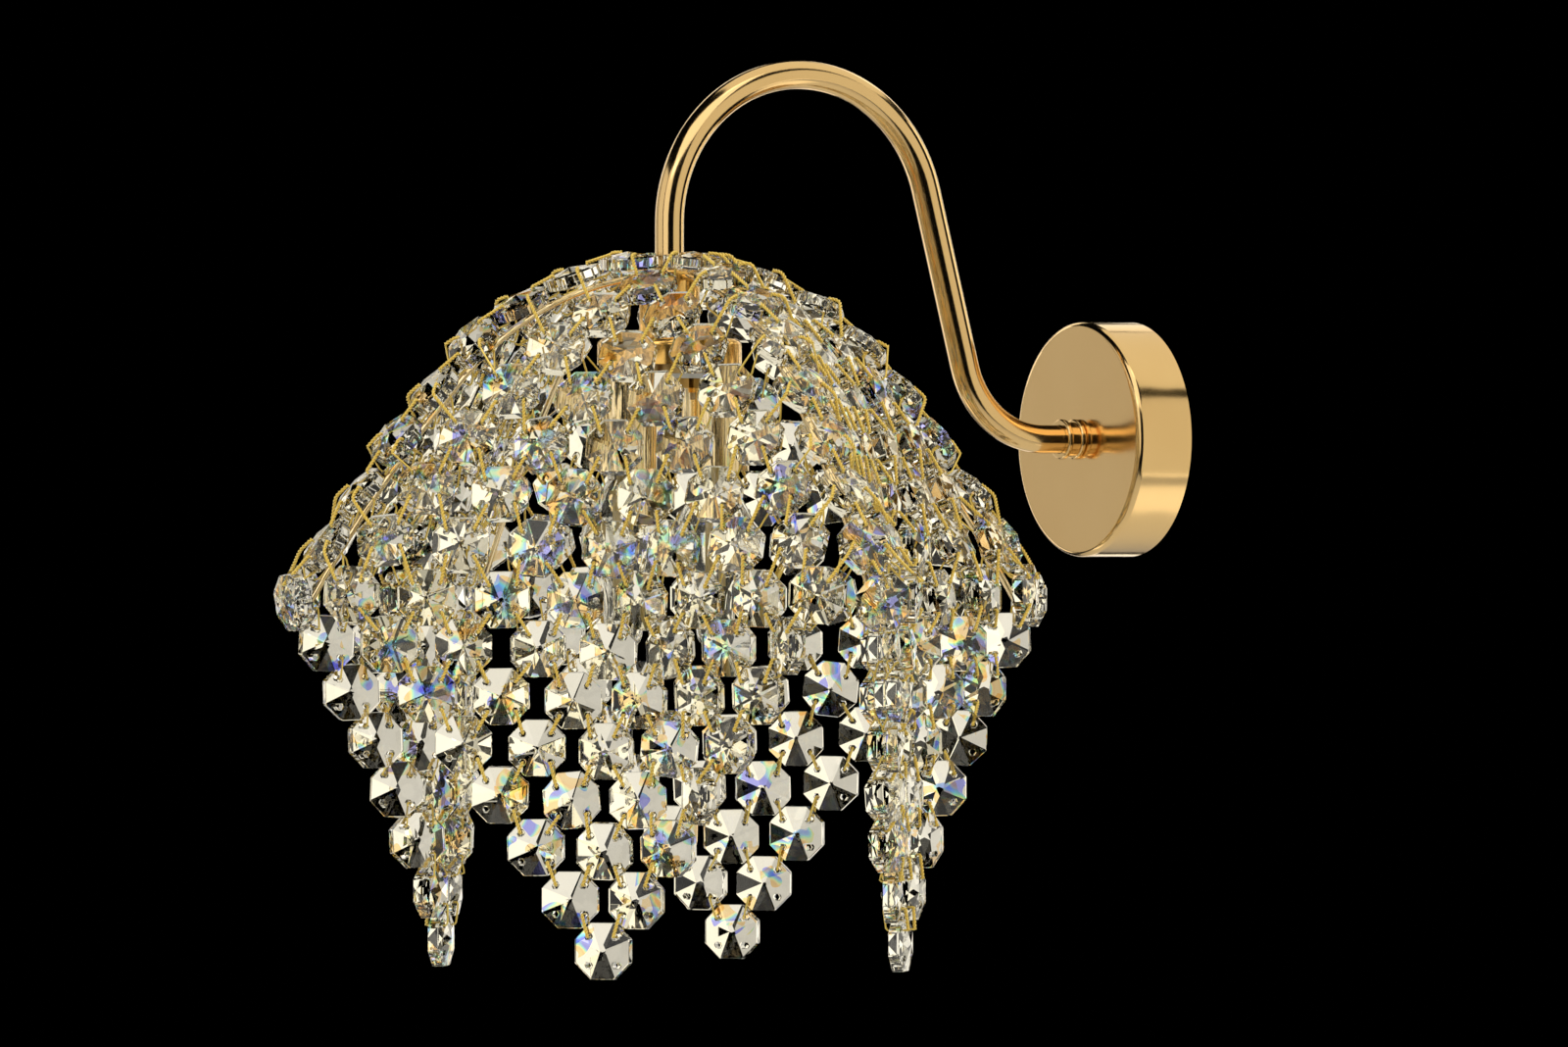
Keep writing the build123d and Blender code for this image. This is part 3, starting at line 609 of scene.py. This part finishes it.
def tube_along(line, radius):
    """Points and faces of a closed tube along a line."""
    along = directions_of(line)
    side = np.cross(along[0], start_side)
    points = []
    for centre, way in zip(line, along):
        side = side - way * (side @ way)
        side /= np.linalg.norm(side)
        other = np.cross(way, side)
        for step in range(tube_sides):
            turn = 2 * math.pi * step / tube_sides
            points.append(centre + radius * (math.cos(turn) * side + math.sin(turn) * other))
    faces = []
    for ring in range(len(line) - 1):
        here, there = ring * tube_sides, (ring + 1) * tube_sides
        for step in range(tube_sides):
            after = (step + 1) % tube_sides
            faces.append((here + step, here + after, there + after, there + step))
    faces.append(tuple(reversed(range(tube_sides))))
    faces.append(tuple(range((len(line) - 1) * tube_sides, len(line) * tube_sides)))
    return points, faces


def rounded(corners, step, radius):
    """A line through corners, evenly stepped, each inner corner cut to a curve."""
    corners = [np.array(corner) for corner in corners]
    line = [corners[0]]
    for before, corner, after in zip(corners, corners[1:], corners[2:]):
        back, ahead = np.linalg.norm(before - corner), np.linalg.norm(after - corner)
        reach = min(radius, bend_share * back, bend_share * ahead)
        start = corner + (before - corner) / back * reach
        end = corner + (after - corner) / ahead * reach
        for t in np.linspace(0, 1, bend_points):
            line.append((1 - t) ** 2 * start + 2 * t * (1 - t) * corner + t ** 2 * end)
    line.append(corners[-1])
    line = np.array(line)
    travelled = distances_along(line)
    count = max(fewest_points, int(travelled[-1] / step) + 1)
    even = np.linspace(0, travelled[-1], count)
    return np.stack([np.interp(even, travelled, line[:, axis]) for axis in range(3)], axis=1)


print("tube tools ready")

# %% Twisted pairs
strand_radius = 0.00040
twist_radius = 0.00044
twist_pitch = 0.0030
single_radius = 0.00042
front_drop = 0.0010
tip_drop = 0.0001
front_step, front_bend = 0.0005, 0.0022
back_step, back_bend = 0.0012, 0.0012


def front_first(corners, facing):
    """The corners of a loop in order, starting with the half that lies outside."""
    count = len(corners)
    depth = corners @ facing
    first = max(range(count), key=lambda start: sum(depth[(start + step) % count] for step in range(count // 2)))
    return np.array([corners[(first + step) % count] for step in range(count)])


def twisted_link(ring, facing, drop):
    """The tubes of one link: two twisted strands in front, one wire through the holes and behind."""
    half_count = len(ring) // 2
    front = [corner - facing * drop for corner in ring[:half_count]]
    behind = ring[half_count:]
    line = rounded(front, front_step, front_bend)
    along = directions_of(line)
    side = facing - along * (along @ facing)[:, None]
    side /= np.linalg.norm(side, axis=1)[:, None]
    other = np.cross(along, side)
    tubes = []
    for strand in range(2):
        turn = 2 * math.pi * distances_along(line) / twist_pitch + math.pi * strand
        circling = np.cos(turn)[:, None] * side + np.sin(turn)[:, None] * other
        tubes.append(tube_along(line + twist_radius * circling, strand_radius))
    tubes.append(tube_along(rounded([front[-1], *behind, front[0]], back_step, back_bend), single_radius))
    return tubes


print("link tools ready")

# %% Wind all the links
link_nodes = sorted(name for name in nodes if "_links_" in name)
wound = 0
for name in link_nodes:
    points, faces = [], []
    cad_points, shells = shells_of(nodes[name])
    for members in shells:
        corners = loop_corners(cad_points[members])
        pair = np.argsort(np.linalg.norm(middles - corners.mean(0), axis=1))[:2]
        ring = front_first(corners, facings[pair].sum(0))
        held_by = [min(pair, key=lambda one: np.linalg.norm(middles[one] - corner)) for corner in ring]
        ring = np.array([turns[one] @ (corner - middles[one]) + middles[one] for one, corner in zip(held_by, ring)])
        facing = sum(turns[one] @ facings[one] for one in pair)
        drop = tip_drop if tips.intersection(pair) else front_drop
        for tube_points, tube_faces in twisted_link(ring, facing / np.linalg.norm(facing), drop):
            faces += [tuple(index + len(points) for index in face) for face in tube_faces]
            points += tube_points
        wound += 1
    mesh = bpy.data.meshes.new(name.replace("links", "wires"))
    mesh.from_pydata([tuple(point) for point in points], [], faces)
    mesh.polygons.foreach_set("use_smooth", [True] * len(mesh.polygons))
    mesh.materials.append(gold_wire)
    wires = bpy.data.objects.new(name.replace("links", "wires"), mesh)
    bpy.context.scene.collection.objects.link(wires)
    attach(wires, "fixture")
    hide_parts(name)
print(wound, "links wound in", len(link_nodes), "pieces")
